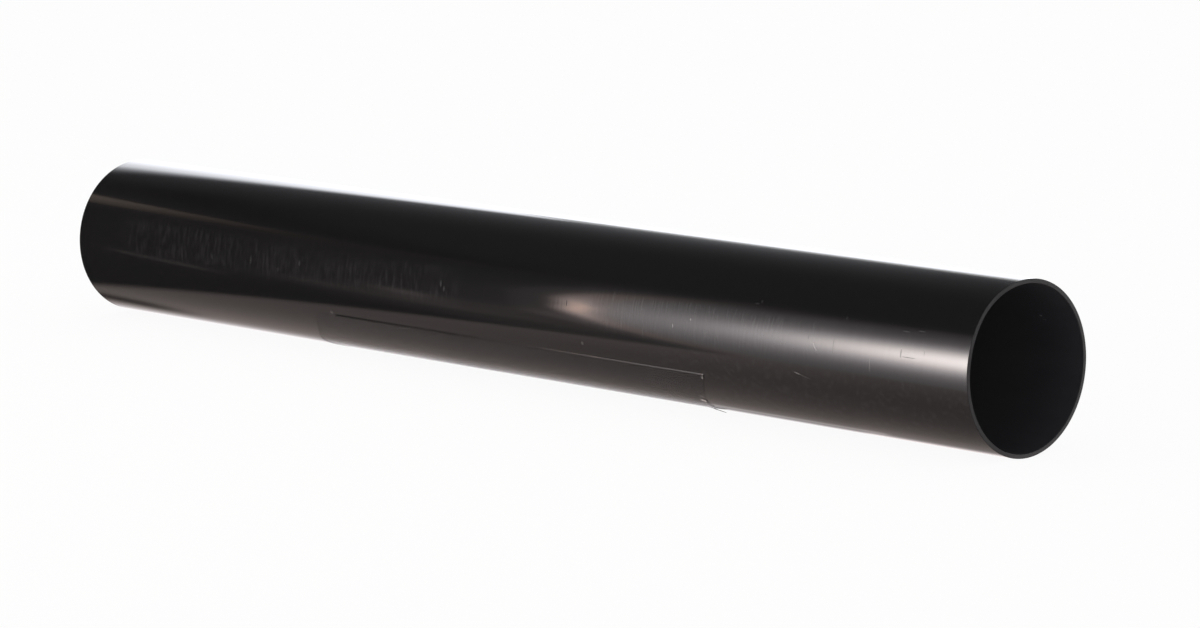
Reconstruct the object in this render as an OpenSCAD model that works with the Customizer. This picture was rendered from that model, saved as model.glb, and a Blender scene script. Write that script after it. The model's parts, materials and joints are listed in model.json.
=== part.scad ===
// Round downpipe for rainwater: one straight extruded length of thin-walled
// plastic pipe, sawn square at both ends, with a strip of clear film stuck
// along its lower front side.
// Millimetres. The pipe lies along X, its mouth faces +X and Z is up. The
// origin is below the middle of the pipe, on the surface that it lies on.

/* [Pipe] */
// Outside diameter of the pipe
pipe_outside_d = 68; // [50:0.5:110]
// Thickness of the pipe's wall
pipe_wall = 1.7; // [1.2:0.1:4]
// Length of the pipe between its two sawn ends
pipe_length = 530; // [400:5:4000]
// Bevel that deburring leaves on each edge of a sawn end
edge_bevel = 0.2; // [0.1:0.05:0.5]

/* [Clear film] */
// Thickness of the clear film
film_thickness = 0.1; // [0.06:0.01:0.2]
// Length of the film along the pipe
film_length = 231; // [80:1:360]
// Gap along the pipe from its mouth to the film's upper edge
film_setback = 140; // [20:1:270]
// Angle of the film's upper edge below the pipe's front line
film_upper_angle = 26; // [10:1:50]
// Angle of the film's lower edge below the pipe's front line
film_lower_angle = 82; // [65:1:83]
// How far the film's lower edge is shifted away from the mouth
film_lean = 21; // [0:1:30]
// Radius of the two rounded corners at the film's far end
film_corner_r = 9; // [1:0.5:12]

/* [Hidden] */
round_sides = 128;
pipe_r = pipe_outside_d / 2;
bore_r = pipe_r - pipe_wall;
film_outer_r = pipe_r + film_thickness;
film_middle_angle = (film_upper_angle + film_lower_angle) / 2;
film_half_width = pipe_r * sin((film_lower_angle - film_upper_angle) / 2);

// Lays down what is made around the X axis with the film's middle on top, so
// that the film comes to its place on the pipe's lower front side
module lay_down() {
    translate([0, 0, pipe_r])
        rotate([90 + film_middle_angle, 0, 0])
            children();
}

// Half section of the wall: distance from the axis across, place along the
// pipe upwards. Its four edges are bevelled.
module wall_section() {
    half_length = pipe_length / 2;
    polygon([
        [bore_r, half_length - edge_bevel],
        [bore_r + edge_bevel, half_length],
        [pipe_r - edge_bevel, half_length],
        [pipe_r, half_length - edge_bevel],
        [pipe_r, edge_bevel - half_length],
        [pipe_r - edge_bevel, -half_length],
        [bore_r + edge_bevel, -half_length],
        [bore_r, edge_bevel - half_length]
    ]);
}

module downpipe() {
    color("#1c1b1c")
        lay_down()
            rotate([0, 90, 0])
                rotate_extrude($fn = round_sides) wall_section();
}

// The film laid out flat, seen from outside: X along the pipe with the mouth
// to the right, Y up around it. Both ends lean by the same amount.
module film_parallelogram(length) {
    polygon([
        [0, film_half_width],
        [-length, film_half_width],
        [-length - film_lean, -film_half_width],
        [-film_lean, -film_half_width]
    ]);
}

// Round corners at the far end, sharp ones where the near end was cut
module film_outline() {
    offset(r = film_corner_r)
        offset(delta = -film_corner_r)
            film_parallelogram(film_length);
    film_parallelogram(film_length / 2);
}

// A tube that fits over the pipe, as long as the film's outline
module film_tube() {
    rotate([0, -90, 0])
        linear_extrude(height = film_length + film_lean)
            difference() {
                circle(r = film_outer_r, $fn = round_sides);
                circle(r = pipe_r, $fn = round_sides);
            }
}

module clear_film() {
    color([0.8, 0.8, 0.82, 0.35])
        lay_down()
            translate([pipe_length / 2 - film_setback, 0, 0])
                intersection() {
                    film_tube();
                    linear_extrude(height = pipe_outside_d) film_outline($fn = 48);
                }
}

downpipe();
clear_film();
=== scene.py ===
"""Looks of the round downpipe: a length of glossy black plastic pipe with a strip of clear film
stuck along its lower front, lying on a pale shooting table with one large softbox in front.

Metres, the same frame as the CAD: the pipe lies along X, its mouth faces +X and Z is up. A place
on the pipe is given by x along it and by its angle round the axis: 0 degrees is the front line,
which faces -Y, and 90 degrees is the top."""

import json
import math

import bpy
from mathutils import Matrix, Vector


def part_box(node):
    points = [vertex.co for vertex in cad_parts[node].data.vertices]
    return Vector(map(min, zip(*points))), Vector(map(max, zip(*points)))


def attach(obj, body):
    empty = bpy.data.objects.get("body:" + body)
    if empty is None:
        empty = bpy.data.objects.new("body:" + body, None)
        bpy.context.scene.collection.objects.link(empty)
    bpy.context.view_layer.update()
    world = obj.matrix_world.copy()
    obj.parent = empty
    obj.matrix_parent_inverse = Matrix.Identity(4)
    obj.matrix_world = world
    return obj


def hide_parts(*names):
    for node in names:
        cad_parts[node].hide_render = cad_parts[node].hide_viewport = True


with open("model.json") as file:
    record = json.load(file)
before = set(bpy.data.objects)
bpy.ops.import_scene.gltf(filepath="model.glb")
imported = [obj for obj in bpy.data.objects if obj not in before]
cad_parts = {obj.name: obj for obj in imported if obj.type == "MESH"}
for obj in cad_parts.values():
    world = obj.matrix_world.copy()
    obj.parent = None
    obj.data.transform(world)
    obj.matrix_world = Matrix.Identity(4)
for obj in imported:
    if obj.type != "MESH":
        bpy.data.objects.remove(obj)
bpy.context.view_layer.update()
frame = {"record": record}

MM = 0.001

# The pipe, from the frame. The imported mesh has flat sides, so the radius comes from the mount.
MOUNTS = {mount["name"]: mount for mount in frame["record"]["mounts"]}
PIPE_R = MOUNTS["outside"]["dims"]["r_mm"] * MM
BORE_R = MOUNTS["bore"]["dims"]["r_mm"] * MM
pipe_low, pipe_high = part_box("downpipe")
PIPE_LENGTH = pipe_high.x - pipe_low.x
AXIS_Z = PIPE_R
EDGE_R = 0.2 * MM
PIPE_SIDES = 384
SMOOTH_BELOW = math.radians(8.0)

# The saw wandered back from the mouth's true end, most at this angle round the pipe.
CUT_WANDER = 0.86 * MM
WANDER_ANGLE = math.radians(54.0)
WANDER_WIDTH = math.radians(21.0)

film_low, film_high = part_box("clear_film")


# ---------------------------------------------------------------- node helpers

def add_node(tree, kind, inputs=None, **settings):
    """Adds a node. inputs maps a socket's name or number to a value or to another socket."""
    node = tree.nodes.new(kind)
    for name, value in settings.items():
        setattr(node, name, value)
    for key, value in (inputs or {}).items():
        if isinstance(value, bpy.types.NodeSocket):
            tree.links.new(value, node.inputs[key])
        else:
            node.inputs[key].default_value = value
    return node


def calc(tree, operation, *values, clamp=False):
    """One step of arithmetic on numbers or sockets."""
    inputs = dict(enumerate(values))
    node = add_node(tree, "ShaderNodeMath", inputs, operation=operation, use_clamp=clamp)
    return node.outputs[0]


def ramp(tree, value, start, end, low=0.0, high=1.0):
    """Smoothly from low, where value is start, to high, where it is end."""
    inputs = {"Value": value, 1: start, 2: end, 3: low, 4: high}
    node = add_node(tree, "ShaderNodeMapRange", inputs, interpolation_type="SMOOTHSTEP")
    return node.outputs["Result"]


def bell(tree, value, middle, width):
    """1 where value is middle, falling off like a bell to each side."""
    off = calc(tree, "DIVIDE", calc(tree, "SUBTRACT", value, middle), width)
    square = calc(tree, "MULTIPLY", off, off)
    return calc(tree, "POWER", math.e, calc(tree, "MULTIPLY", square, -0.5))


def mix_colours(tree, share, first, second):
    """From the first colour, where share is 0, to the second, where it is 1."""
    colours = {
        key: colour if isinstance(colour, bpy.types.NodeSocket) else (*colour, 1.0)
        for key, colour in ((6, first), (7, second))
    }
    return add_node(tree, "ShaderNodeMix", {0: share, **colours}, data_type="RGBA").outputs[2]


def new_material(name):
    """An empty material and its node tree."""
    material = bpy.data.materials.new(name)
    material.use_nodes = True
    material.node_tree.nodes.clear()
    return material, material.node_tree


def finish_material(tree, shader):
    """Gives a material its shader."""
    add_node(tree, "ShaderNodeOutputMaterial", {"Surface": shader})


# ---------------------------------------------------------------- materials of the pipe

PLASTIC_IOR = 1.52
BLACK = (0.0075, 0.0073, 0.0075)
RUBBED_GREY = (0.045, 0.044, 0.044)
# Colour of the nicks: partly the scratches' own pale, partly a painted glint.
NICK_GLINT_WHITE = (0.42, 0.41, 0.40)
DUST_WHITE = (0.5, 0.5, 0.5)
LINE_DEPTH = 0.02 * MM

# The sawn ends and the bore are mottled, from the first colour of a pair to the second.
SAWN_INNER = (0.005, 0.005, 0.005), (0.012, 0.012, 0.012)
SAWN_OUTER = (0.012, 0.012, 0.012), (0.024, 0.023, 0.023)
# The back half of the sawn ends is painted lighter: painted light.
SAWN_BACK_PAINTED_LIGHT = (0.048, 0.047, 0.047)
BORE_MOUTH = (0.027, 0.027, 0.032), (0.034, 0.034, 0.039)
# Deep in the bore it is painted lighter: painted light.
BORE_DEEP_PAINTED_LIGHT = (0.064, 0.064, 0.065)

# Noise is given as waves a metre along the pipe and across it.
TICK_WAVES = (1450.0, 190.0)
PATCH_WAVES = (70.0, 90.0)
SPECK_WAVES = (450.0, 450.0)
HAIR_WAVES = (1500.0, 60.0)
CLOUD_WAVES = (25.0, 60.0)
DRAW_LINE_WAVES = (4.0, 700.0)
LONG_LINE_WAVES = (700.0, 30.0)
SHORT_LINE_WAVES = (900.0, 130.0)
SAW_WAVES = (300.0, 900.0)
BORE_WAVES = (15.0, 200.0)

TICK_STRENGTH = 0.34
SPECK_STRENGTH = 0.20
HAIR_STRENGTH = 0.20

# The front is rubbed in two parts of its length. Each pair says where a part fades from nothing
# and where it is full, in degrees round the pipe or in metres along it.
FRONT_BELOW, FRONT_ABOVE = (-8.0, 2.0), (30.0, 17.0)
FAR_PART_START, FAR_PART_END = (-0.240, -0.225), (-0.010, -0.017)
NEAR_PART_START = (0.050, 0.070)
SPECKS_BELOW, SPECKS_START = (-6.0, -10.0), (0.08, 0.12)
HAIRS_START = (0.04, 0.07)

# Between these two places the near part grows, from the first of the two shares to the second.
NEAR_PART_GROWS, NEAR_PART_SHARES = (0.210, 0.150), (0.20, 0.85)

# Roughness of the outside, and how much clouds, wear and scores add to it.
OUTSIDE_ROUGH = 0.058
CLOUD_ROUGH, WORN_ROUGH, SCORED_ROUGH = 0.02, 0.08, 0.3

# A mark fades out between these two squares of the distance from its middle.
MARK_GONE, MARK_FULL = 1.6, 0.2


def place_on_pipe(tree):
    """Sockets for a point of the pipe: the point itself, x along it, and its angle in degrees."""
    point = add_node(tree, "ShaderNodeTexCoord").outputs["Object"]
    parts = add_node(tree, "ShaderNodeSeparateXYZ", {0: point}).outputs
    up = calc(tree, "SUBTRACT", parts["Z"], AXIS_Z)
    front = calc(tree, "MULTIPLY", parts["Y"], -1.0)
    turn = calc(tree, "ARCTAN2", up, front)
    return point, parts["X"], calc(tree, "MULTIPLY", turn, math.degrees(1.0))


def streaky_noise(tree, point, along, across, detail=2.0):
    """Noise with so many waves a metre along the pipe and across it. It has no seam."""
    stretched = add_node(
        tree, "ShaderNodeMapping", {"Vector": point, "Scale": (along, across, across)}
    ).outputs[0]
    node = add_node(
        tree, "ShaderNodeTexNoise", {"Vector": stretched, "Scale": 1.0, "Detail": detail}
    )
    return node.outputs["Fac"]


# Nicks in the outside, painted pale: partly the scratches' own colour and partly painted glints
# where they catch the softbox. Each has x along the pipe, angle in degrees, half length in
# millimetres, half turn in degrees, how much it turns on the way in degrees a millimetre, and how
# strong it is.
NICKS = [
    (58.5, -17.0, 0.5, 1.3, 0.0, 0.15),
    (180.0, -14.8, 4.5, 0.30, -0.42, 0.10),
    (177.6, -13.8, 1.4, 0.45, -0.42, 0.22),
    (196.0, -63.0, 4.5, 0.60, 0.70, 0.12),
    (153.5, 28.0, 1.1, 0.5, 0.0, 0.05),
    (155.5, 29.8, 0.4, 1.2, 0.0, 0.05),
    (201.0, 27.0, 0.4, 1.0, 0.0, 0.05),
    (232.0, 24.0, 1.8, 0.35, 0.0, 0.08),
    (239.5, 25.5, 1.6, 0.35, 0.0, 0.08),
    (187.6, 5.2, 1.1, 0.5, -2.3, 0.34),
    (120.5, 11.0, 0.4, 1.0, 0.0, 0.30),
    (111.0, 5.0, 0.35, 1.4, 0.0, 0.25),
    (-96.5, -24.8, 0.7, 0.9, 0.0, 0.16),
    (-114.0, 9.0, 0.5, 1.8, 0.0, 0.05),
    (-24.5, 9.5, 0.5, 2.0, 0.0, 0.06),
    (-22.5, 6.5, 0.5, 2.0, 0.0, 0.06),
    (-128.0, 2.0, 0.5, 1.4, 0.0, 0.045),
    (-172.0, 4.0, 0.5, 2.0, 0.0, 0.03),
    (-146.0, 6.0, 0.6, 3.0, 0.0, 0.03),
    (-205.0, 10.5, 0.4, 2.5, 0.0, 0.03),
]
# Dull scores, given in the same way.
SCORES = [
    (94.5, 2.0, 0.22, 9.0, 0.0, 0.5),
    (216.0, 0.0, 0.22, 5.0, 0.0, 0.4),
    (231.5, 9.8, 0.35, 3.0, 0.0, 0.5),
    (235.5, 7.8, 3.6, 0.35, 0.0, 0.5),
    (50.5, 9.5, 0.35, 2.6, 0.0, 0.5),
    (197.0, 8.0, 0.2, 6.0, 0.0, 0.4),
    (183.8, 12.0, 0.2, 2.5, 0.0, 0.4),
    (243.0, 12.0, 0.2, 2.0, 0.0, 0.4),
]


def add_marks(tree, along, angle, marks):
    """The marks of a list as one map from 0, where there is none, to 1."""
    total = 0.0
    for x, middle, half_length, half_turn, slant, strength in marks:
        off_x = calc(tree, "MULTIPLY_ADD", along, 1 / (half_length * MM), -x / half_length)
        off_turn = calc(tree, "MULTIPLY_ADD", angle, 1 / half_turn, -middle / half_turn)
        if slant:
            off_turn = calc(
                tree, "MULTIPLY_ADD", off_x, -slant * half_length / half_turn, off_turn
            )
        off = calc(tree, "MULTIPLY_ADD", off_x, off_x, calc(tree, "MULTIPLY", off_turn, off_turn))
        mark = ramp(tree, off, MARK_GONE, MARK_FULL, 0.0, strength)
        total = calc(tree, "ADD", total, mark)
    return calc(tree, "ADD", total, 0.0, clamp=True)


def outside_wear(tree, point, along, angle):
    """How worn the outside is by ticks along its front and specks below, and how rubbed it is
    with the fine hairs counted too."""
    front = calc(tree, "MULTIPLY", ramp(tree, angle, *FRONT_BELOW), ramp(tree, angle, *FRONT_ABOVE))
    far_part = calc(
        tree, "MULTIPLY", ramp(tree, along, *FAR_PART_START), ramp(tree, along, *FAR_PART_END)
    )
    near_part = calc(
        tree, "MULTIPLY", ramp(tree, along, *NEAR_PART_START),
        ramp(tree, along, *NEAR_PART_GROWS, *NEAR_PART_SHARES),
    )
    either_part = calc(tree, "MAXIMUM", far_part, near_part)
    patches = streaky_noise(tree, point, *PATCH_WAVES, detail=1.0)
    patches = ramp(tree, patches, 0.36, 0.62, 0.65, 1.0)
    ticks = ramp(tree, streaky_noise(tree, point, *TICK_WAVES), 0.48, 0.65, 0.0, TICK_STRENGTH)
    ticks = calc(tree, "MULTIPLY", ticks, calc(tree, "MULTIPLY", patches, either_part))
    specks = ramp(tree, streaky_noise(tree, point, *SPECK_WAVES), 0.50, 0.70, 0.0, SPECK_STRENGTH)
    below = calc(
        tree, "MULTIPLY", ramp(tree, angle, *SPECKS_BELOW), ramp(tree, along, *SPECKS_START)
    )
    worn = calc(tree, "MULTIPLY_ADD", front, ticks, calc(tree, "MULTIPLY", specks, below))
    hairs = ramp(tree, streaky_noise(tree, point, *HAIR_WAVES), 0.40, 0.66)
    hairs = calc(tree, "MULTIPLY", hairs, ramp(tree, along, *HAIRS_START, 0.0, HAIR_STRENGTH))
    return worn, calc(tree, "MULTIPLY_ADD", front, hairs, worn)


def outside_lines(tree, point, angle):
    """The draw lines along the outside and the fine cross lines round it, as a normal."""
    draw_lines = streaky_noise(tree, point, *DRAW_LINE_WAVES)
    bump = add_node(
        tree, "ShaderNodeBump", {"Height": draw_lines, "Strength": 0.12, "Distance": LINE_DEPTH}
    ).outputs[0]
    long_lines = streaky_noise(tree, point, *LONG_LINE_WAVES, detail=3.0)
    short_lines = streaky_noise(tree, point, *SHORT_LINE_WAVES, detail=3.0)
    low_down = ramp(tree, angle, -15.0, -45.0)
    cross_lines = add_node(
        tree, "ShaderNodeMix", {"Factor": low_down, "A": short_lines, "B": long_lines}
    ).outputs[0]
    return add_node(
        tree, "ShaderNodeBump",
        {"Height": cross_lines, "Strength": 0.05, "Distance": LINE_DEPTH, "Normal": bump},
    ).outputs[0]


def make_black_plastic():
    """The extruded outside: glossy, with faint draw lines, rubbed along its front, and with pale
    nicks that are partly painted glints.
    """
    material, tree = new_material("black_plastic")
    point, along, angle = place_on_pipe(tree)
    worn, rubbed = outside_wear(tree, point, along, angle)
    scored = add_marks(tree, along, angle, SCORES)
    # Pale nicks: partly the scratches' own colour, partly painted glints.
    nicks_and_glints = add_marks(tree, along, angle, NICKS)
    greyed = calc(tree, "ADD", rubbed, scored, clamp=True)
    colour = mix_colours(tree, greyed, BLACK, RUBBED_GREY)
    colour = mix_colours(tree, nicks_and_glints, colour, NICK_GLINT_WHITE)
    cloud = streaky_noise(tree, point, *CLOUD_WAVES)
    rough = calc(tree, "MULTIPLY_ADD", cloud, CLOUD_ROUGH, OUTSIDE_ROUGH)
    rough = calc(tree, "MULTIPLY_ADD", worn, WORN_ROUGH, rough)
    rough = calc(tree, "MULTIPLY_ADD", scored, SCORED_ROUGH, rough)
    round_axis = add_node(tree, "ShaderNodeTangent", direction_type="RADIAL", axis="X").outputs[0]
    shader = add_node(
        tree, "ShaderNodeBsdfPrincipled",
        {"Base Color": colour, "Roughness": rough, "IOR": PLASTIC_IOR, "Anisotropic": 1.0,
         "Tangent": round_axis, "Normal": outside_lines(tree, point, angle)},
    ).outputs[0]
    finish_material(tree, shader)
    return material


def make_sawn_plastic():
    """The cut ends: matt and greyer, with the saw's fine marks. Their back half is painted lighter,
    which is painted light.
    """
    material, tree = new_material("sawn_plastic")
    point = place_on_pipe(tree)[0]
    marks = streaky_noise(tree, point, *SAW_WAVES)
    parts = add_node(tree, "ShaderNodeSeparateXYZ", {0: point}).outputs
    inner = mix_colours(tree, marks, *SAWN_INNER)
    outer = mix_colours(tree, marks, *SAWN_OUTER)
    up = calc(tree, "SUBTRACT", parts["Z"], AXIS_Z)
    from_axis = add_node(tree, "ShaderNodeCombineXYZ", {"Y": parts["Y"], "Z": up}).outputs[0]
    reach = add_node(
        tree, "ShaderNodeVectorMath", {0: from_axis}, operation="LENGTH"
    ).outputs["Value"]
    colour = mix_colours(tree, ramp(tree, reach, BORE_R, PIPE_R), inner, outer)
    # Painted light: the back half of the sawn end is painted lighter.
    painted_light_back = ramp(tree, parts["Y"], -0.0165, -0.0040, 0.0, 0.5)
    colour = mix_colours(tree, painted_light_back, colour, SAWN_BACK_PAINTED_LIGHT)
    shader = add_node(
        tree, "ShaderNodeBsdfPrincipled",
        {"Base Color": colour, "Roughness": 0.6, "IOR": 1.40},
    ).outputs[0]
    finish_material(tree, shader)
    return material


# Specks of dust in the bore, given like the nicks.
DUST = [
    (246.8, 151.9, 0.7, 0.6, 0.0, 0.30),
    (247.5, 154.9, 0.5, 0.5, 0.0, 0.10),
    (248.5, 154.7, 0.5, 0.5, 0.0, 0.10),
]


def make_bore_plastic():
    """The inside: the same plastic with the duller skin that cooling leaves on it. Deeper in from
    the mouth it is painted lighter, which is painted light.
    """
    material, tree = new_material("bore_plastic")
    point, along, angle = place_on_pipe(tree)
    cloud = streaky_noise(tree, point, *BORE_WAVES)
    rough = calc(tree, "MULTIPLY_ADD", cloud, 0.15, 0.45)
    dust = add_marks(tree, along, angle, DUST)
    # Painted light: deeper in from the mouth the bore is painted lighter.
    painted_light_deep = ramp(tree, along, 0.250, 0.200)
    colour = mix_colours(tree, painted_light_deep, mix_colours(tree, cloud, *BORE_MOUTH), BORE_DEEP_PAINTED_LIGHT)
    colour = mix_colours(tree, dust, colour, DUST_WHITE)
    shader = add_node(
        tree, "ShaderNodeBsdfPrincipled",
        {"Base Color": colour, "Roughness": rough, "IOR": PLASTIC_IOR},
    ).outputs[0]
    finish_material(tree, shader)
    return material


# ---------------------------------------------------------------- the pipe

PIPE_INPUTS = {
    "Outside radius": "NodeSocketFloat",
    "Wall": "NodeSocketFloat",
    "Length": "NodeSocketFloat",
    "Edge radius": "NodeSocketFloat",
    "Cut wander": "NodeSocketFloat",
    "Wander angle": "NodeSocketFloat",
    "Wander width": "NodeSocketFloat",
    "Axis height": "NodeSocketFloat",
    "Sides": "NodeSocketInt",
    "Smooth below": "NodeSocketFloat",
    "Outside": "NodeSocketMaterial",
    "Inside": "NodeSocketMaterial",
    "Ends": "NodeSocketMaterial",
}


def round_wall(tree, given, middle_r):
    """The wall's section, a rectangle with rounded corners, carried round a circle."""
    circle = add_node(
        tree, "GeometryNodeCurvePrimitiveCircle",
        {"Resolution": given["Sides"], "Radius": middle_r},
    ).outputs["Curve"]
    section = add_node(
        tree, "GeometryNodeCurvePrimitiveQuadrilateral",
        {"Width": given["Wall"], "Height": given["Length"]},
    ).outputs["Curve"]
    section = add_node(
        tree, "GeometryNodeFilletCurve",
        {"Curve": section, "Radius": given["Edge radius"], "Count": 3, "Limit Radius": True},
        mode="POLY",
    ).outputs["Curve"]
    return add_node(
        tree, "GeometryNodeCurveToMesh", {"Curve": circle, "Profile Curve": section}
    ).outputs["Mesh"]


def cut_mouth(tree, given, pipe, from_axis):
    """Sets the mouth's end back where the saw wandered."""
    parts = add_node(tree, "ShaderNodeSeparateXYZ", {0: from_axis}).outputs
    turn = calc(tree, "ARCTAN2", parts["Z"], calc(tree, "MULTIPLY", parts["Y"], -1.0))
    set_back = bell(tree, turn, given["Wander angle"], given["Wander width"])
    set_back = calc(tree, "MULTIPLY", set_back, given["Cut wander"])
    offset = add_node(
        tree, "ShaderNodeCombineXYZ", {"X": calc(tree, "MULTIPLY", set_back, -1.0)}
    ).outputs[0]
    is_mouth = add_node(
        tree, "FunctionNodeCompare", {0: parts["X"], 1: 0.0}, operation="GREATER_THAN"
    ).outputs[0]
    return add_node(
        tree, "GeometryNodeSetPosition",
        {"Geometry": pipe, "Selection": is_mouth, "Offset": offset},
    ).outputs["Geometry"]


def faces_inside(tree, from_axis, middle_r):
    """Which faces lie nearer to the axis than the middle of the wall."""
    across = add_node(
        tree, "ShaderNodeVectorMath", {0: from_axis, 1: (0.0, 1.0, 1.0)}, operation="MULTIPLY"
    ).outputs[0]
    reach = add_node(
        tree, "ShaderNodeVectorMath", {0: across}, operation="LENGTH"
    ).outputs["Value"]
    return add_node(
        tree, "FunctionNodeCompare", {0: reach, 1: middle_r}, operation="LESS_THAN"
    ).outputs[0]


def faces_at_ends(tree, given, from_axis):
    """Which faces belong to the two sawn ends."""
    along = add_node(tree, "ShaderNodeSeparateXYZ", {0: from_axis}).outputs["X"]
    half_length = calc(tree, "MULTIPLY", given["Length"], 0.5)
    end_starts = calc(tree, "SUBTRACT", half_length, given["Edge radius"])
    end_starts = calc(tree, "SUBTRACT", end_starts, given["Cut wander"])
    return add_node(
        tree, "FunctionNodeCompare",
        {0: calc(tree, "ABSOLUTE", along), 1: end_starts}, operation="GREATER_THAN",
    ).outputs[0]


def build_pipe_tree():
    """The pipe laid on its side: its wall, the wandered cut, and a finish for each region."""
    tree = bpy.data.node_groups.new("extruded_pipe", "GeometryNodeTree")
    for name, kind in PIPE_INPUTS.items():
        tree.interface.new_socket(name, in_out="INPUT", socket_type=kind)
    tree.interface.new_socket("Geometry", in_out="OUTPUT", socket_type="NodeSocketGeometry")
    given = add_node(tree, "NodeGroupInput").outputs

    half_wall = calc(tree, "MULTIPLY", given["Wall"], 0.5)
    middle_r = calc(tree, "SUBTRACT", given["Outside radius"], half_wall)
    lift = add_node(tree, "ShaderNodeCombineXYZ", {"Z": given["Axis height"]}).outputs[0]
    pipe = add_node(
        tree, "GeometryNodeTransform",
        {"Geometry": round_wall(tree, given, middle_r),
         "Rotation": (0.0, math.radians(90.0), 0.0), "Translation": lift},
    ).outputs["Geometry"]

    where = add_node(tree, "GeometryNodeInputPosition").outputs[0]
    from_axis = add_node(
        tree, "ShaderNodeVectorMath", {0: where, 1: lift}, operation="SUBTRACT"
    ).outputs[0]
    pipe = cut_mouth(tree, given, pipe, from_axis)

    bend = add_node(tree, "GeometryNodeInputMeshEdgeAngle").outputs["Unsigned Angle"]
    is_round = add_node(
        tree, "FunctionNodeCompare", {0: bend, 1: given["Smooth below"]}, operation="LESS_THAN"
    ).outputs[0]
    pipe = add_node(
        tree, "GeometryNodeSetShadeSmooth",
        {"Geometry": pipe, "Selection": True, "Shade Smooth": is_round}, domain="EDGE",
    ).outputs["Geometry"]
    pipe = add_node(tree, "GeometryNodeRealizeInstances", {"Geometry": pipe}).outputs[0]
    is_inside = faces_inside(tree, from_axis, middle_r)
    is_end = faces_at_ends(tree, given, from_axis)
    for name, chosen in (("Outside", True), ("Inside", is_inside), ("Ends", is_end)):
        inputs = {"Geometry": pipe, "Selection": chosen, "Material": given[name]}
        pipe = add_node(tree, "GeometryNodeSetMaterial", inputs).outputs[0]
    add_node(tree, "NodeGroupOutput", {"Geometry": pipe})
    return tree


def run_tree(name, tree, values):
    """Runs a node tree with these named values and returns its result as a plain mesh object."""
    holder = bpy.data.objects.new(name + "_holder", bpy.data.meshes.new(name + "_holder"))
    bpy.context.scene.collection.objects.link(holder)
    modifier = holder.modifiers.new(name, "NODES")
    modifier.node_group = tree
    sockets = {item.name: item.identifier for item in tree.interface.items_tree}
    for label, value in values.items():
        modifier[sockets[label]] = value
    graph = bpy.context.evaluated_depsgraph_get()
    mesh = bpy.data.meshes.new_from_object(holder.evaluated_get(graph), depsgraph=graph)
    bpy.data.objects.remove(holder)
    piece = bpy.data.objects.new(name, mesh)
    bpy.context.scene.collection.objects.link(piece)
    return piece


def make_pipe():
    """The pipe, one closed mesh in three finishes, in place of the CAD's."""
    pipe = run_tree("pipe", build_pipe_tree(), {
        "Outside radius": PIPE_R,
        "Wall": PIPE_R - BORE_R,
        "Length": PIPE_LENGTH,
        "Edge radius": EDGE_R,
        "Cut wander": CUT_WANDER,
        "Wander angle": WANDER_ANGLE,
        "Wander width": WANDER_WIDTH,
        "Axis height": AXIS_Z,
        "Sides": PIPE_SIDES,
        "Smooth below": SMOOTH_BELOW,
        "Outside": make_black_plastic(),
        "Inside": make_bore_plastic(),
        "Ends": make_sawn_plastic(),
    })
    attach(pipe, "root")
    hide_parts("downpipe")


# ---------------------------------------------------------------- the clear film

# The film's cut, as it is in the CAD. Its place comes from the frame.
FILM_T = 0.1 * MM
FILM_LENGTH = 231 * MM
FILM_LEAN = 21 * MM
FILM_CORNER_R = 9 * MM
FILM_R = PIPE_R + FILM_T
UPPER_ANGLE = math.asin((film_high.z - AXIS_Z) / FILM_R)
LOWER_ANGLE = math.asin((film_low.z - AXIS_Z) / FILM_R)
MIDDLE_ANGLE = (UPPER_ANGLE + LOWER_ANGLE) / 2
FILM_HALF_WIDTH = PIPE_R * math.sin((UPPER_ANGLE - LOWER_ANGLE) / 2)

# How far it reaches round the pipe, and the length of its shortest row, at a rounded corner.
FILM_ARC = PIPE_R * (UPPER_ANGLE - LOWER_ANGLE)
FILM_ROW = FILM_LENGTH - FILM_CORNER_R

# Its mesh keeps these gaps to the pipe and to the table.
FILM_GAP = 0.02 * MM
FLOOR_GAP = 0.02 * MM

# Its edges round off over these widths: the lower edge and far end, and the near end.
EDGE_BEAD, NEAR_BEAD = 0.25 * MM, 0.15 * MM

# Its mesh's rows and columns are so far apart. Near each edge they stand closer, at these
# distances from it.
ROW_STEP, COLUMN_STEP = 0.6 * MM, 1.2 * MM
EDGE_STEPS = [mm * MM for mm in (0.0, 0.03, 0.08, 0.15, 0.25, 0.35, 0.45, 0.7, 1.0)]

# Keeps the row right after a bead or a ridge out of it, whatever the last digit says.
JUST_SHORT = 0.99

# The near end is cut in a slight bow.
FILM_BOW = 1.4 * MM

# Glue stands in a ridge along the upper edge, with a steep face above and a long back below. It
# starts a little way from the far end and rises from there to its full height.
RIDGE_HEIGHT = 0.38 * MM
RIDGE_FACE = 0.7 * MM
RIDGE_FACE_CURVE = 1.12
RIDGE_BACK = 3.0 * MM
RIDGE_START, RIDGE_FULL = 8.0 * MM, 13.0 * MM

# Low down the near end has come loose and stands off the pipe.
LOOSE_TOP, LOOSE_FULL = math.radians(-53), math.radians(-65)
LOOSE_HEIGHT = 0.35 * MM
LOOSE_REACH = 2.6 * MM
LOOSE_PAST = 3.0 * MM
# Width of the strip along the loose end that gets the edge's dark, a painted shadow.
LOOSE_SHADOW_WIDTH = 0.6 * MM

# A pointed flap has come off the near end, low down, and hangs away from the pipe.
FLAP_LENGTH = 7.5 * MM
FLAP_OUT = 1.0 * MM
FLAP_DROP = 0.5 * MM
FLAP_CURVE = 1.2
FLAP_TOP, FLAP_TIP, FLAP_FOOT = math.radians(-72), math.radians(-77), math.radians(-81)

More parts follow.
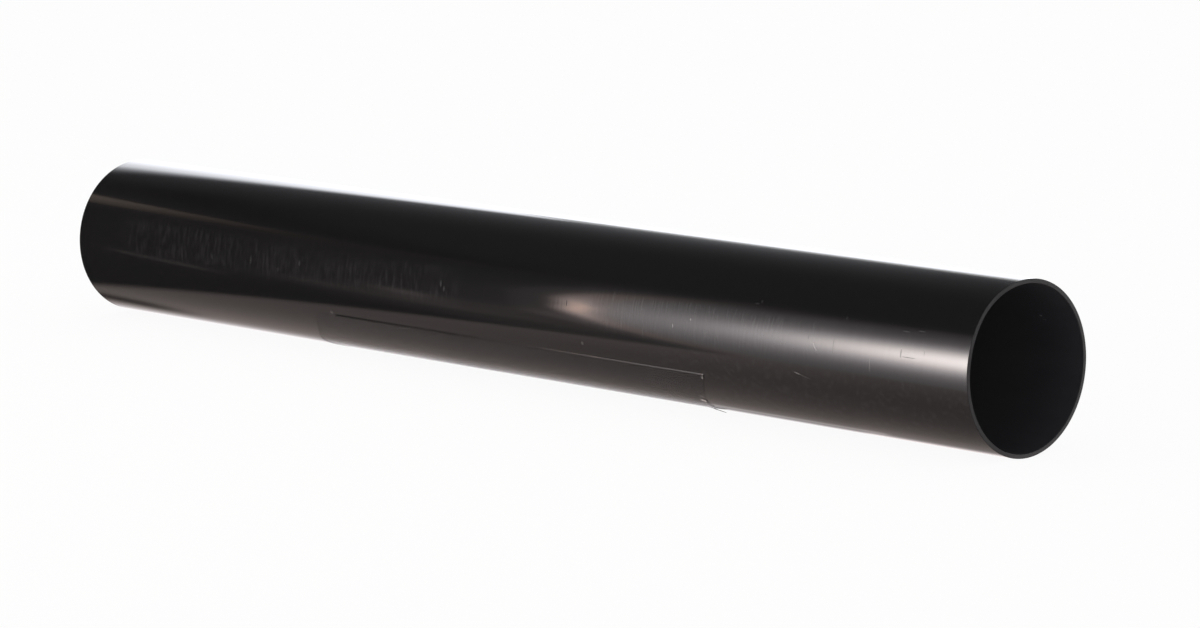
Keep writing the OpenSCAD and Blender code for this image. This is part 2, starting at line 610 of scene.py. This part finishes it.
# At the creases the film stands off the pipe, and the white there is a painted highlight. Given
# like the nicks.
CREASES = [
    (115.2, -55.2, 2.2, 1.2, -0.5, 1.5),
    (115.6, -49.6, 1.6, 2.0, 0.0, 0.10),
    (124.2, -29.2, 1.0, 0.9, 0.0, 0.70),
    (124.3, -26.9, 1.0, 0.7, 0.0, 0.50),
]
CREASE_HEIGHT = 0.2 * MM

FILM_IOR = 1.5
FILM_GREY = (0.07, 0.07, 0.07)
# The white at the creases is a painted highlight.
CREASE_HIGHLIGHT_WHITE = (0.95, 0.93, 0.92)
# The film edge is painted dark: the pipe seen through it, and a painted shadow at the loose end.
FILM_EDGE_PAINTED_DARK = (0.006, 0.006, 0.006, 1.0)
RIPPLE_WAVES = (60.0, 120.0)
RIPPLE_DEPTH = 0.05 * MM
EDGE_WAVES = (200.0, 200.0)

# How much of the pipe it hides, from where it is clear to where its painted highlight is white.
CLEAR, HIGHLIT = 0.10, 0.97


def loose_share(angle):
    """0 where the near end is still stuck down, rising to 1 where it is loose."""
    return min(max((LOOSE_TOP - angle) / (LOOSE_TOP - LOOSE_FULL), 0.0), 1.0)


def lean_at(across):
    """How far the film leans away from the mouth, so far above its middle line."""
    return FILM_LEAN * (1 - across / FILM_HALF_WIDTH) / 2


def film_ends(angle):
    """Where the film starts and ends along the pipe, at an angle round it."""
    across = PIPE_R * math.sin(angle - MIDDLE_ANGLE)
    slant = math.hypot(FILM_LEAN, 2 * FILM_HALF_WIDTH)
    far_corner = film_high.x - FILM_LENGTH
    far = far_corner - lean_at(across)
    for side in (1, -1):
        centre = side * (FILM_HALF_WIDTH - FILM_CORNER_R)
        touches = centre + FILM_CORNER_R * FILM_LEAN / slant
        if side * across > side * touches:
            centre_x = far_corner - lean_at(centre)
            centre_x += FILM_CORNER_R * slant / (2 * FILM_HALF_WIDTH)
            far = centre_x - math.sqrt(max(FILM_CORNER_R ** 2 - (across - centre) ** 2, 0.0))
    bow = FILM_BOW * (1 - (across / FILM_HALF_WIDTH) ** 2)
    return far, film_high.x - lean_at(across) + bow + LOOSE_PAST * loose_share(angle)


def flap_reach(angle):
    """How far the flap reaches past the film's near end, at an angle round the pipe."""
    if angle > FLAP_TIP:
        share = (FLAP_TOP - angle) / (FLAP_TOP - FLAP_TIP)
    else:
        share = (angle - FLAP_FOOT) / (FLAP_TIP - FLAP_FOOT)
    return FLAP_LENGTH * max(share, 0.0)


def steps_across(length, step):
    """Distances from 0 to length: close together at both edges and a step apart between."""
    inset = EDGE_STEPS[-1]
    count = max(2, round((length - 2 * inset) / step))
    middle = [inset + (length - 2 * inset) * i / count for i in range(1, count)]
    return EDGE_STEPS + middle + [length - d for d in reversed(EDGE_STEPS)]


def crease_at(x, angle):
    """How far the film stands off at a crease."""
    lift = 0.0
    for middle_x, middle, half_length, half_turn, slant, strength in CREASES:
        off_x = (x / MM - middle_x) / half_length
        off_turn = (math.degrees(angle) - middle - slant * (x / MM - middle_x)) / half_turn
        lift = max(lift, CREASE_HEIGHT * strength * math.exp(-(off_x ** 2 + off_turn ** 2)))
    return lift


def loose_at(past_near, angle):
    """How far the film stands off at its loose near end, so far past that end's own line."""
    from_near = max(-past_near, 0.0)
    return LOOSE_HEIGHT * loose_share(angle) * max(1 - from_near / LOOSE_REACH, 0.0) ** 2


def film_thickness(down, up, from_far, from_near):
    """The film's thickness, so far from its upper edge, its lower edge and its two ends. It is 0
    at all four, where the outer and the inner face meet."""
    rise = min(up / EDGE_BEAD, from_far / EDGE_BEAD, from_near / NEAR_BEAD, 1.0)
    bead = math.sqrt(1 - (1 - rise) ** 2)
    face = 1 - (1 - min(down / RIDGE_FACE, 1.0)) ** RIDGE_FACE_CURVE
    back = 1 - min(max(down - RIDGE_FACE, 0.0) / RIDGE_BACK, 1.0)
    back *= back * (3 - 2 * back)
    back *= min(max(from_far - RIDGE_START, 0.0) / (RIDGE_FULL - RIDGE_START), 1.0)
    return bead * face * (FILM_T + (RIDGE_HEIGHT - FILM_T) * back)


def place_on_film(angle, place):
    """Where a column crosses a row: x, and how far past the near end's own line it is there."""
    far, near = film_ends(angle)
    tip = near + flap_reach(angle)
    to_near = FILM_ROW - place
    if place <= EDGE_STEPS[-1]:
        x = far + place
    elif to_near <= EDGE_STEPS[-1]:
        x = tip - to_near
    else:
        x = far + (tip - far) * (place / FILM_ROW)
    return x, x - near


def film_points(rows, columns):
    """The sheet's points. For every crossing of a row and a column it also gives the number of
    its outer point, that of its inner one, and whether it lies in the strip at the loose end
    that gets the edge's dark, a painted shadow."""
    points, outer, inner, loose = [], {}, {}, {}
    for i, down in enumerate(rows):
        angle = UPPER_ANGLE - down / PIPE_R
        for j, place in enumerate(columns):
            x, past_near = place_on_film(angle, place)
            thickness = film_thickness(down, FILM_ARC - down, place, FILM_ROW - place)
            past = (max(past_near, 0.0) / FLAP_LENGTH) ** FLAP_CURVE
            foot = PIPE_R + FILM_GAP + crease_at(x, angle) + loose_at(past_near, angle)
            # The strip along the loose end gets the edge's dark, a painted shadow.
            loose[i, j] = past_near > -LOOSE_SHADOW_WIDTH and angle < LOOSE_FULL
            for layer, r in ((outer, foot + thickness), (inner, foot)):
                if layer is inner and thickness == 0.0:
                    inner[i, j] = outer[i, j]
                    continue
                layer[i, j] = len(points)
                height = AXIS_Z + r * math.sin(angle) - FLAP_DROP * past
                height = max(height, FLOOR_GAP + (r - foot))
                points.append((x, -r * math.cos(angle) - FLAP_OUT * past, height))
    return points, outer, inner, loose


def is_film_edge(row, next_row, column, next_column):
    """Whether what lies between two rows and two columns is a rounded edge or the ridge's face."""
    if min(FILM_ARC - next_row, column) < EDGE_BEAD * JUST_SHORT:
        return True
    if FILM_ROW - next_column < NEAR_BEAD * JUST_SHORT:
        return True
    return row < RIDGE_FACE * JUST_SHORT and column > RIDGE_START


def make_film():
    """A thin closed sheet bent round the pipe, with rounded edges, in place of the CAD's."""
    rows = steps_across(FILM_ARC, ROW_STEP)
    columns = steps_across(FILM_ROW, COLUMN_STEP)
    points, outer, inner, loose = film_points(rows, columns)
    faces, is_edge = [], []
    for i in range(len(rows) - 1):
        for j in range(len(columns) - 1):
            ring = [(i, j), (i + 1, j), (i + 1, j + 1), (i, j + 1)]
            faces.append([outer[key] for key in ring])
            faces.append([inner[key] for key in reversed(ring)])
            at_edge = is_film_edge(rows[i], rows[i + 1], columns[j], columns[j + 1])
            # Faces at the loose end take the edge's dark: painted shadow under the lifted film.
            is_edge += [at_edge or loose[i, j]] * 2
    mesh = bpy.data.meshes.new("film")
    mesh.from_pydata(points, [], faces)
    mesh.materials.append(make_clear_film())
    mesh.materials.append(make_film_edge())
    mesh.polygons.foreach_set("material_index", [int(edge) for edge in is_edge])
    mesh.polygons.foreach_set("use_smooth", [True] * len(faces))
    film = bpy.data.objects.new("film", mesh)
    bpy.context.scene.collection.objects.link(film)
    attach(film, "root")
    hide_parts("clear_film")


def make_clear_film():
    """Clear and glossy, and white at the creases, which is a painted highlight."""
    material, tree = new_material("clear_film")
    point, along, angle = place_on_pipe(tree)
    # Painted highlight: at the creases the film turns white and mirror-like.
    crease_highlight = add_marks(tree, along, angle, CREASES)
    alpha = ramp(tree, crease_highlight, 0.0, 1.0, CLEAR, HIGHLIT)
    colour = mix_colours(tree, ramp(tree, crease_highlight, 0.0, 0.3), FILM_GREY, CREASE_HIGHLIGHT_WHITE)
    ripple = streaky_noise(tree, point, *RIPPLE_WAVES)
    bump = add_node(
        tree, "ShaderNodeBump", {"Height": ripple, "Strength": 0.2, "Distance": RIPPLE_DEPTH}
    ).outputs[0]
    shader = add_node(
        tree, "ShaderNodeBsdfPrincipled",
        {"Base Color": colour, "Roughness": 0.3, "IOR": FILM_IOR, "Alpha": alpha, "Normal": bump,
         "Metallic": ramp(tree, crease_highlight, 0.2, 0.6, 0.0, 0.9)},
    ).outputs[0]
    finish_material(tree, shader)
    return material


def make_film_edge():
    """The film's rounded edge, painted dark for the pipe's dark seen through it. Along the loose
    near end the same dark is a painted shadow under the lifted film.
    """
    material, tree = new_material("film_edge")
    point = place_on_pipe(tree)[0]
    rough = ramp(tree, streaky_noise(tree, point, *EDGE_WAVES), 0.3, 0.7, 0.08, 0.2)
    shader = add_node(
        tree, "ShaderNodeBsdfPrincipled",
        {"Base Color": FILM_EDGE_PAINTED_DARK, "Roughness": rough, "IOR": FILM_IOR, "Alpha": 0.9},
    ).outputs[0]
    finish_material(tree, shader)
    return material


# ---------------------------------------------------------------- the studio

TABLE_HALF = 6.0

# The softbox stands in front, to the left of the camera. Heights are above the pipe's axis.
BOX_Y = -1.0
BOX_LEFT, BOX_RIGHT = -1.15, -0.02
BOX_BOTTOM, BOX_TOP = -0.70, 1.0
CLOTH_LEFT = -0.9425
CLOTH_MIDDLE, CLOTH_HALF_HEIGHT = 0.075, 0.285

# Its left edge leans out above the first height, and in below the second.
LEANS_ABOVE, LEANS_BELOW = 0.09, -0.04
LEAN_OUT, LEAN_IN = 0.18, -0.05

CLOTH_EVEN = (1.06, 0.98, 1.0)
CLOTH_CORE = (1.06, 0.975, 0.94)
CLOTH_STREAK = (1.30, 0.93, 0.78)
ROOM_WARM = (1.10, 0.93, 0.92)
RIM_WIDTH = 0.056
RIM_SOFT = 0.006

# The cloth's hot spot: x, height, half width and half height.
CORE = (-0.556, 0.128, 0.108, 0.143)
CORE_STRENGTH = 13.9
STREAK_STRENGTH = 4.3
SKIRT_STRENGTH = 0.3

# Black flags in front and overhead keep the white room out of the pipe's dark side.
FLAG_FRONT_Y = -1.002
FLAG_FRONT_TOP = 1.6
FLAG_OVER_Y = -0.66
FLAG_DROP = -1.5
FLAG_HEIGHT = 0.6
FLAG_LEFT, FLAG_RIGHT = -4.0, 1.2

# The bright backdrop far behind. To the left the overhead cloth is as bright as that.
BACK_Y = 1.0
BACK_MIDDLE = -1.16
BACK_TOP = 0.468
BACK_STRENGTH = 3.05
BRIGHT_LEFT = -1.095
BRIGHT_SLANT = 0.065
BRIGHT_SOFT = 0.11
BRIGHT_STRENGTH = 2.8
COOL_WHITE = (0.93, 0.945, 1.0, 1.0)
BOOM_BROWN = (1.0, 0.80, 0.66, 1.0)


def place_in_room(tree):
    """Sockets for a point's X, Y and Z."""
    point = add_node(tree, "ShaderNodeTexCoord").outputs["Object"]
    return add_node(tree, "ShaderNodeSeparateXYZ", {0: point}).outputs


def make_glow(name, colour, strength_of):
    """A cloth that glows. strength_of works out its strength from its node tree, and its colour
    too where none is given."""
    material, tree = new_material(name)
    if colour:
        strength = strength_of(tree)
    else:
        strength, colour = strength_of(tree)
    glow = add_node(tree, "ShaderNodeEmission", {"Color": colour, "Strength": strength})
    finish_material(tree, glow.outputs[0])
    return material


# Warm things in the room past the softbox: x, height above the axis, half width, half height
# and strength. A strength below 0 is a dark thing.
ROOM_THINGS = [
    (-1.375, 0.02, 0.022, 0.055, -0.045),
    (-1.487, -0.33, 0.013, 0.040, 0.26),
    (-1.460, -0.42, 0.015, 0.045, 0.36),
    (-1.260, -0.30, 0.030, 0.030, 0.12),
    (-1.135, -0.215, 0.025, 0.050, 0.42),
    (-1.050, -0.24, 0.050, 0.050, 0.15),
    (-1.130, -0.40, 0.100, 0.075, 0.27),
    (-1.150, -0.63, 0.130, 0.060, 0.10),
    (-0.985, -0.20, 0.020, 0.060, 0.24),
    (-0.960, -0.25, 0.016, 0.080, 0.25),
]


def spot_at(tree, x, height, middle_x, middle_height, half_width, half_height):
    """1 in the middle of a soft spot, falling off to every side."""
    across = bell(tree, x, middle_x, half_width)
    return calc(tree, "MULTIPLY", across, bell(tree, height, middle_height, half_height))


def room_light(tree, x, height):
    """The dim room, and the warm things that stand in it."""
    haze = ramp(tree, x, -1.45, -1.10, 0.033, 0.086)
    haze = calc(tree, "ADD", haze, ramp(tree, x, -1.11, -1.02, 0.0, 0.07))
    haze = calc(tree, "MULTIPLY", haze, ramp(tree, height, 1.0, 0.78, 0.35, 1.0))
    warm = 0.0
    for *spot, strength in ROOM_THINGS:
        warm = calc(tree, "MULTIPLY_ADD", spot_at(tree, x, height, *spot), strength, warm)
    return haze, warm


def softbox_light(tree):
    """A cloth that is brightest at mid height, with the lamp's hot spot behind it, a warm
    streak down its left edge and a dim rim outside that. The edge leans out at the top
    and in at the bottom."""
    at = place_in_room(tree)
    x, height = at["X"], calc(tree, "SUBTRACT", at["Z"], AXIS_Z)
    above = calc(tree, "MAXIMUM", calc(tree, "SUBTRACT", height, LEANS_ABOVE), 0.0)
    below = calc(tree, "MAXIMUM", calc(tree, "SUBTRACT", LEANS_BELOW, height), 0.0)
    from_edge = calc(tree, "SUBTRACT", x, CLOTH_LEFT)
    from_edge = calc(tree, "MULTIPLY_ADD", above, LEAN_OUT, from_edge)
    from_edge = calc(tree, "MULTIPLY_ADD", below, LEAN_IN, from_edge)
    even = calc(
        tree, "MULTIPLY", bell(tree, height, CLOTH_MIDDLE, CLOTH_HALF_HEIGHT),
        ramp(tree, x, -0.90, -0.58, 2.0, 3.12),
    )
    core = spot_at(tree, x, height, *CORE)
    streak = calc(
        tree, "MULTIPLY", bell(tree, from_edge, 0.015, 0.009), bell(tree, height, 0.05, 0.12)
    )
    bright = calc(tree, "MULTIPLY_ADD", streak, STREAK_STRENGTH, even)
    bright = calc(tree, "MULTIPLY_ADD", core, CORE_STRENGTH, bright)
    cloth = calc(tree, "MULTIPLY", bright, ramp(tree, from_edge, -0.021, 0.004))
    skirt = calc(
        tree, "MULTIPLY", ramp(tree, height, -0.25, -0.60), ramp(tree, from_edge, 0.0, 0.05)
    )
    cloth = calc(tree, "MULTIPLY_ADD", skirt, SKIRT_STRENGTH, cloth)
    haze, warm = room_light(tree, x, height)
    rim = ramp(tree, height, 0.86, 0.50, 0.08, 0.28)
    high_right = calc(
        tree, "MULTIPLY", ramp(tree, x, -1.0, -0.82, 0.0, 0.2), ramp(tree, height, 0.5, 0.72)
    )
    rim = calc(tree, "MULTIPLY_ADD", high_right, ramp(tree, height, 1.15, 0.95), rim)
    past_rim = ramp(tree, from_edge, -RIM_WIDTH + RIM_SOFT, -RIM_WIDTH - RIM_SOFT)
    around = add_node(tree, "ShaderNodeMix", {"Factor": past_rim, "A": rim, "B": haze}).outputs[0]
    strength = calc(tree, "ADD", calc(tree, "ADD", cloth, around), warm)
    colour = mix_colours(tree, ramp(tree, core, 0.0, 0.6), CLOTH_EVEN, CLOTH_CORE)
    warm_edge = calc(tree, "MULTIPLY", bell(tree, from_edge, 0.012, 0.022), 0.6)
    warm_edge = calc(tree, "MAXIMUM", warm_edge, ramp(tree, streak, 0.0, 0.8))
    colour = mix_colours(tree, warm_edge, colour, CLOTH_STREAK)
    return strength, mix_colours(tree, ramp(tree, warm, 0.0, 0.1), colour, ROOM_WARM)


def front_light(tree):
    """Nearly black: the dim room past the softbox."""
    at = place_in_room(tree)
    haze, warm = room_light(tree, at["X"], calc(tree, "SUBTRACT", at["Z"], AXIS_Z))
    colour = mix_colours(tree, ramp(tree, warm, 0.0, 0.1), (1.0, 0.96, 0.94), ROOM_WARM)
    return calc(tree, "ADD", haze, warm), colour


def overhead_strength(tree):
    """Nearly black, with a haze that grows towards the backdrop, and bright on the left."""
    at = place_in_room(tree)
    back = calc(tree, "MAXIMUM", calc(tree, "ADD", at["Y"], 0.05), 0.0)
    haze = calc(tree, "MULTIPLY", calc(tree, "POWER", back, 1.5), 0.37)
    past_right = calc(tree, "MULTIPLY_ADD", back, 0.8, at["X"])
    haze = calc(tree, "MULTIPLY", haze, ramp(tree, past_right, -0.15, 0.10, 1.0, 0.5))
    dark_spot = calc(
        tree, "MULTIPLY", bell(tree, at["X"], -0.89, 0.075), ramp(tree, at["Y"], 0.10, -0.10)
    )
    haze = calc(tree, "ADD", haze, calc(tree, "MULTIPLY_ADD", dark_spot, -0.042, 0.05))
    line = calc(tree, "MULTIPLY_ADD", back, -BRIGHT_SLANT, BRIGHT_LEFT)
    past_line = calc(tree, "SUBTRACT", at["X"], line)
    bright = ramp(tree, past_line, -BRIGHT_SOFT, BRIGHT_SOFT, BRIGHT_STRENGTH, 0.0)
    bright = calc(tree, "MULTIPLY", bright, ramp(tree, at["Y"], 0.10, 0.25))
    return calc(tree, "ADD", haze, bright)


def backdrop_strength(tree):
    """Even, and a little dimmer on the right."""
    return ramp(tree, place_in_room(tree)["X"], -0.82, -0.58, BACK_STRENGTH, 2.9)


def boom_strength(tree):
    """Lit from behind."""
    return ramp(tree, place_in_room(tree)["Y"], -0.62, -0.30, 0.08, 0.75)


def make_card(name, corners, material, lights_object=False):
    """A flat card of the studio. The camera never sees it, and only a lamp lights the object."""
    mesh = bpy.data.meshes.new(name)
    mesh.from_pydata(corners, [], [list(range(len(corners)))])
    mesh.materials.append(material)
    card = bpy.data.objects.new(name, mesh)
    bpy.context.scene.collection.objects.link(card)
    card.visible_camera = False
    card.visible_shadow = False
    card.visible_transmission = False
    card.visible_diffuse = lights_object


def upright(y, left, right, bottom, top):
    """Corners of a card that faces the pipe. Heights are above the pipe's axis."""
    low, high = AXIS_Z + bottom, AXIS_Z + top
    return [(left, y, low), (right, y, low), (right, y, high), (left, y, high)]


def level(height, outline):
    """Corners of a card that lies level, at a height above the pipe's axis."""
    return [(x, y, AXIS_Z + height) for x, y in outline]


def make_cards():
    """The softbox, the flags and the backdrop, all of them seen only in the pipe."""
    softbox = make_glow("softbox_cloth", None, softbox_light)
    front = make_glow("front_flag_cloth", None, front_light)
    overhead = make_glow("overhead_flag_cloth", COOL_WHITE, overhead_strength)
    boom = make_glow("boom_brown", BOOM_BROWN, boom_strength)
    back = make_glow("backdrop_cloth", COOL_WHITE, backdrop_strength)
    make_card("softbox", upright(BOX_Y, BOX_LEFT, BOX_RIGHT, BOX_BOTTOM, BOX_TOP), softbox, True)
    make_card(
        "front_flag",
        upright(FLAG_FRONT_Y, FLAG_LEFT, FLAG_RIGHT, FLAG_DROP, FLAG_FRONT_TOP), front,
    )
    make_card("under_flag", level(FLAG_DROP, [
        (FLAG_LEFT, FLAG_FRONT_Y), (FLAG_RIGHT, FLAG_FRONT_Y), (FLAG_RIGHT, 0.0), (FLAG_LEFT, 0.0),
    ]), front)
    make_card("overhead_flag", level(FLAG_HEIGHT, [
        (FLAG_LEFT, FLAG_OVER_Y), (FLAG_RIGHT, FLAG_OVER_Y), (FLAG_RIGHT, BACK_Y),
        (FLAG_LEFT, BACK_Y),
    ]), overhead)
    make_card("boom", level(FLAG_HEIGHT - 0.01, [
        (-1.20, -0.47), (-1.15, -0.58), (-1.13, -0.71), (-0.86, -0.71),
        (-0.83, -0.68), (-0.99, -0.60), (-1.03, -0.42), (-1.07, -0.27),
    ]), boom)
    make_card("backdrop", upright(BACK_Y, BACK_MIDDLE, FLAG_RIGHT, -0.2, BACK_TOP), back)
    make_card("backdrop_side", upright(BACK_Y, FLAG_LEFT, BACK_MIDDLE, -0.2, FLAG_HEIGHT), back)


def seen_rays(tree):
    """1 for rays from the camera, from glossy surfaces and through clear ones, else 0."""
    rays = add_node(tree, "ShaderNodeLightPath").outputs
    seen = calc(tree, "ADD", rays["Is Camera Ray"], rays["Is Glossy Ray"])
    return calc(tree, "ADD", seen, rays["Is Transmission Ray"], clamp=True)


# Where the film starts in the table's painted reflection, where it has ended, and where the mouth
# is near. Each pair says where that begins and where it is full.
AT_FILM, PAST_FILM, AT_MOUTH = (-0.10, -0.04), (0.098, 0.110), (0.186, 0.196)
LIT_EDGE_SOFT = 0.004


def changed_at(tree, base, *changes):
    """The base number, changed by so much wherever a share is 1: changes are pairs of share and
    change."""
    for share, change in changes:
        base = calc(tree, "MULTIPLY_ADD", share, change, base)
    return base


def painted_table_reflection(tree):
    """How bright the table, lit from below, shows in the pipe, and where its lit part ends: a
    painted reflection of light and shade. It is brightest right under the pipe, with painted shade
    where the film comes between."""
    at = place_in_room(tree)
    x, y = at["X"], at["Y"]
    front_line = calc(tree, "MAXIMUM", calc(tree, "MULTIPLY_ADD", x, -0.147, -0.0702), -0.087)
    is_lit = ramp(tree, calc(tree, "SUBTRACT", y, front_line), -LIT_EDGE_SOFT, LIT_EDGE_SOFT)
    fade = calc(tree, "MINIMUM", calc(tree, "MULTIPLY_ADD", x, -1.1, 1.0), 1.19)

    at_film = ramp(tree, x, *AT_FILM)
    past_film = ramp(tree, x, *PAST_FILM)
    at_mouth = ramp(tree, x, *AT_MOUTH)
    near_amount = changed_at(tree, 0.10, (at_film, -0.03), (past_film, 0.04), (at_mouth, 0.05))
    near_pipe = calc(tree, "MULTIPLY", ramp(tree, y, -0.034, -0.014), near_amount)
    nearer = calc(tree, "MULTIPLY", ramp(tree, y, -0.0185, -0.0150, 0.0, 0.065), past_film)
    near_pipe = calc(tree, "ADD", near_pipe, nearer)
    start = changed_at(
        tree, -0.0165, (at_film, -0.0025), (past_film, 0.0078), (at_mouth, -0.0008)
    )
    end = changed_at(tree, -0.0060, (past_film, -0.0005))
    amount = changed_at(tree, 0.62, (at_film, -0.03), (past_film, 0.16), (at_mouth, 0.29))
    under_pipe = calc(tree, "MULTIPLY", ramp(tree, y, start, end), amount)
    strip = calc(tree, "MULTIPLY", past_film, ramp(tree, x, 0.208, 0.200))
    strip = calc(tree, "MULTIPLY", strip, ramp(tree, y, -0.0136, -0.0120, 0.0, 0.46))
    strip = calc(tree, "MULTIPLY", strip, ramp(tree, y, -0.0098, -0.0118))
    # A painted dip of shade in the table's reflection near the pipe.
    painted_dip = calc(tree, "MULTIPLY", bell(tree, x, -0.031, 0.016), ramp(tree, y, -0.0135, -0.0105))
    strip = calc(tree, "MULTIPLY_ADD", painted_dip, -0.12, strip)

    open_part = ramp(tree, y, -0.088, -0.040, 0.72, 0.39)
    near_parts = calc(tree, "ADD", near_pipe, calc(tree, "ADD", under_pipe, strip))
    brightness = calc(tree, "MULTIPLY", calc(tree, "ADD", open_part, near_parts), fade)
    # Painted shadow of a tether across the table, as the pipe mirrors it.
    tether_shadow_line = calc(tree, "MULTIPLY_ADD", x, 0.05, -0.0055)
    tether_shadow = bell(tree, calc(tree, "SUBTRACT", y, tether_shadow_line), 0.0, 0.0024)
    tether_shadow = calc(tree, "MULTIPLY", tether_shadow, ramp(tree, x, -0.185, -0.25, 0.0, 0.45))
    return calc(tree, "SUBTRACT", brightness, tether_shadow), is_lit


def make_table():
    """The pale shooting table: white where it is seen, with a trace of the pipe's shadow. The
    pipe mirrors a painted map of its light and shade, and sees past its lit part."""
    material, tree = new_material("pale_table")
    at = place_in_room(tree)
    rays = add_node(tree, "ShaderNodeLightPath").outputs
    painted_reflection, is_lit = painted_table_reflection(tree)
    strength = add_node(
        tree, "ShaderNodeMix", {"Factor": rays["Is Glossy Ray"], "A": 1.0, "B": painted_reflection}
    ).outputs[0]
    # Glossy rays see the table tinted warm: part of its painted reflection.
    near = ramp(tree, at["Y"], -0.018, -0.008)
    at_mouth = ramp(tree, at["X"], 0.15, 0.22)
    near_tint = mix_colours(tree, at_mouth, (1.045, 0.98, 1.0), (1.08, 0.97, 0.97))
    tint = mix_colours(tree, near, (1.14, 0.97, 0.91), near_tint)
    tint = mix_colours(tree, rays["Is Glossy Ray"], (1.0, 1.0, 1.0), tint)
    glow = add_node(
        tree, "ShaderNodeEmission", {"Color": tint, "Strength": strength}
    ).outputs[0]
    cloth = add_node(tree, "ShaderNodeBsdfDiffuse", {"Color": (0.92, 0.92, 0.92, 1.0)}).outputs[0]
    glow_share = calc(tree, "MULTIPLY_ADD", rays["Is Glossy Ray"], 0.06, 0.94)
    glow_share = calc(tree, "MULTIPLY", seen_rays(tree), glow_share)
    surface = add_node(tree, "ShaderNodeMixShader", {0: glow_share, 1: cloth, 2: glow}).outputs[0]
    past_front = calc(tree, "SUBTRACT", 1.0, is_lit)
    gone = calc(tree, "MULTIPLY", rays["Is Glossy Ray"], past_front)
    nothing = add_node(tree, "ShaderNodeBsdfTransparent").outputs[0]
    shader = add_node(tree, "ShaderNodeMixShader", {0: gone, 1: surface, 2: nothing}).outputs[0]
    finish_material(tree, shader)
    half = TABLE_HALF
    corners = [(-half, -half, 0), (half, -half, 0), (half, half, 0), (-half, half, 0)]
    mesh = bpy.data.meshes.new("shooting_table")
    mesh.from_pydata(corners, [], [(0, 1, 2, 3)])
    mesh.materials.append(material)
    table = bpy.data.objects.new("shooting_table", mesh)
    bpy.context.scene.collection.objects.link(table)


def make_world():
    """White where it is seen, and a dim even light on everything."""
    world = bpy.data.worlds.new("studio")
    world.use_nodes = True
    tree = world.node_tree
    tree.nodes.clear()
    strength = calc(tree, "MULTIPLY_ADD", seen_rays(tree), 0.25, 0.75)
    glow = add_node(
        tree, "ShaderNodeBackground", {"Color": (1.0, 1.0, 1.0, 1.0), "Strength": strength}
    ).outputs[0]
    add_node(tree, "ShaderNodeOutputWorld", {"Surface": glow})
    bpy.context.scene.world = world


def make_studio():
    """The world, the table and the cards."""
    make_world()
    make_table()
    make_cards()


# ---------------------------------------------------------------- the camera

CAMERA_FROM_MOUTH = Vector((1.15134, -1.33800, 0.28509))
LOOK = Vector((-0.7103, 0.6881, -0.1487))
SENSOR_WIDTH = 36.0
FOCAL_LENGTH = 142.82


def make_camera():
    """A long lens in front of the mouth, looking back along the pipe."""
    mouth = Vector((pipe_high.x, 0.0, AXIS_Z))
    data = bpy.data.cameras.new("camera")
    data.sensor_width = SENSOR_WIDTH
    data.lens = FOCAL_LENGTH
    camera = bpy.data.objects.new("camera", data)
    bpy.context.scene.collection.objects.link(camera)
    camera.location = mouth + CAMERA_FROM_MOUTH
    camera.rotation_mode = "QUATERNION"
    camera.rotation_quaternion = LOOK.to_track_quat("-Z", "Y")
    bpy.context.scene.camera = camera


make_camera()
make_studio()
make_pipe()
make_film()
bpy.context.scene.view_settings.view_transform = "Standard"
